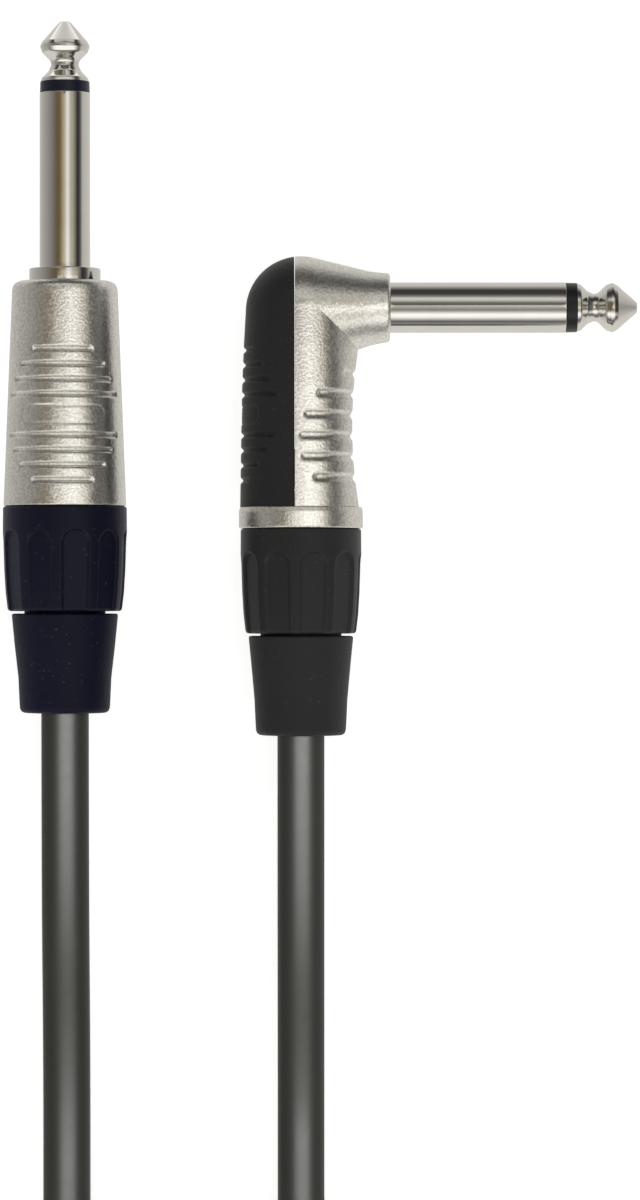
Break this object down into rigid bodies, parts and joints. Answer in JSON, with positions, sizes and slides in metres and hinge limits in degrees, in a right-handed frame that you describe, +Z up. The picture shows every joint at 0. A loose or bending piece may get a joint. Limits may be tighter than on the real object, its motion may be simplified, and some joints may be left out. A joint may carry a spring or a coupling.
{
  "type": "instrument cable",
  "caption": "Coiled audio lead with a straight phone plug on one end and a right-angle phone plug on the other, screw-down strain reliefs.",
  "frame": {"origin": "on the resting surface, under the middle of the box round the two plugs, cable left out", "axes": "+Y along the straight plug towards its tip, +X along the right-angle plug's shaft towards its tip, +Z up from the surface that both plugs lie on"},
  "size_m": [0.0944, 0.2586, 0.024],
  "materials": {
    "polished_nickel": "polished nickel plate",
    "satin_nickel": "fine blasted satin nickel plate",
    "insulator": "smooth black",
    "inner_plastic": "natural nylon",
    "solder_lug": "tinned brass",
    "clamp_plastic": "black nylon",
    "nut_plastic": "fine moulded black",
    "cover_plastic": "fine moulded black",
    "boot_rubber": "matt black elastomer",
    "cable_jacket": "satin dark grey PVC",
    "core_insulation": "white polyethylene",
    "copper": "bare copper strand",
    "strap": "woven hook-and-loop strap"
  },
  "bodies": {
    "root": {"straight_tip": "polished_nickel", "straight_tip_insulator": "insulator", "straight_inner_insulator": "inner_plastic", "straight_sleeve": "polished_nickel", "straight_rear_insulator": "inner_plastic", "straight_ground_lug": "solder_lug", "straight_tip_lug": "solder_lug", "straight_shell": "satin_nickel", "straight_collet": "clamp_plastic", "straight_core": "core_insulation", "straight_conductor": "copper", "straight_screen": "copper", "angle_tip": "polished_nickel", "angle_tip_insulator": "insulator", "angle_inner_insulator": "inner_plastic", "angle_sleeve": "polished_nickel", "angle_rear_insulator": "inner_plastic", "angle_ground_lug": "solder_lug", "angle_tip_lug": "solder_lug", "angle_shell": "satin_nickel", "angle_collet": "clamp_plastic", "angle_core": "core_insulation", "angle_conductor": "copper", "angle_screen": "copper", "cable_lead_straight": "cable_jacket", "cable_lead_angle": "cable_jacket", "cable_coil": "cable_jacket", "cable_tie": "strap"},
    "straight_boot_slide": {"straight_boot": "boot_rubber"},
    "straight_nut_turn": {"straight_nut": "nut_plastic"},
    "angle_boot_slide": {"angle_boot": "boot_rubber"},
    "angle_nut_turn": {"angle_nut": "nut_plastic"},
    "angle_cover": {"angle_cover": "cover_plastic"}
  },
  "joints": [
    {"name": "straight_boot_back", "type": "slide", "parent": "root", "child": "straight_boot_slide", "axis": [0, -1, 0], "range_m": [0, 0.0056]},
    {"name": "straight_nut_unscrew", "type": "hinge", "parent": "straight_boot_slide", "child": "straight_nut_turn", "pos_m": [-0.0321, -0.029, 0.0078], "axis": [0, -1, 0], "range_deg": [0, 1350]},
    {"name": "angle_boot_back", "type": "slide", "parent": "root", "child": "angle_boot_slide", "axis": [0, -1, 0], "range_m": [0, 0.0056]},
    {"name": "angle_nut_unscrew", "type": "hinge", "parent": "angle_boot_slide", "child": "angle_nut_turn", "pos_m": [-0.0024, -0.029, 0.0078], "axis": [0, -1, 0], "range_deg": [0, 1350]},
    {"name": "angle_cover_off", "type": "slide", "parent": "root", "child": "angle_cover", "axis": [-1, 0, 0], "range_m": [0, 0.012]}
  ],
  "couplings": [
    {"joint": "straight_nut_unscrew", "follows": "straight_boot_back", "rad_per_m": 4188.8},
    {"joint": "angle_nut_unscrew", "follows": "angle_boot_back", "rad_per_m": 4188.8}
  ]
}
